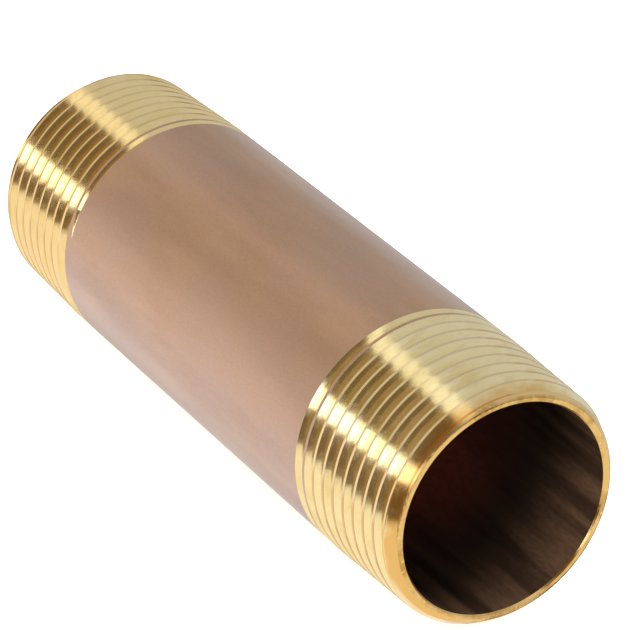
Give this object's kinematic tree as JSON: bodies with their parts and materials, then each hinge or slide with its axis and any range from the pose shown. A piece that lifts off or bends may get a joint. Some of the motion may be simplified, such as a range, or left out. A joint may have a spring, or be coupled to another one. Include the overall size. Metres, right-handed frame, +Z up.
{
  "type": "pipe nipple",
  "caption": "Straight round pipe nipple with a male taper pipe thread at each end and a plain brown barrel between them.",
  "frame": {"origin": "on the pipe axis at mid-length", "axes": "X along the pipe axis, +X towards the front threaded end; +Z up with the nipple lying on its side"},
  "size_m": [0.1016, 0.0334, 0.0334],
  "materials": {
    "barrel": "matte brown pipe skin, dark oxide in the bore",
    "cut_thread": "bright machined"
  },
  "bodies": {
    "root": {"barrel": "barrel", "front_threaded_end": "cut_thread", "rear_threaded_end": "cut_thread"}
  },
  "joints": []
}
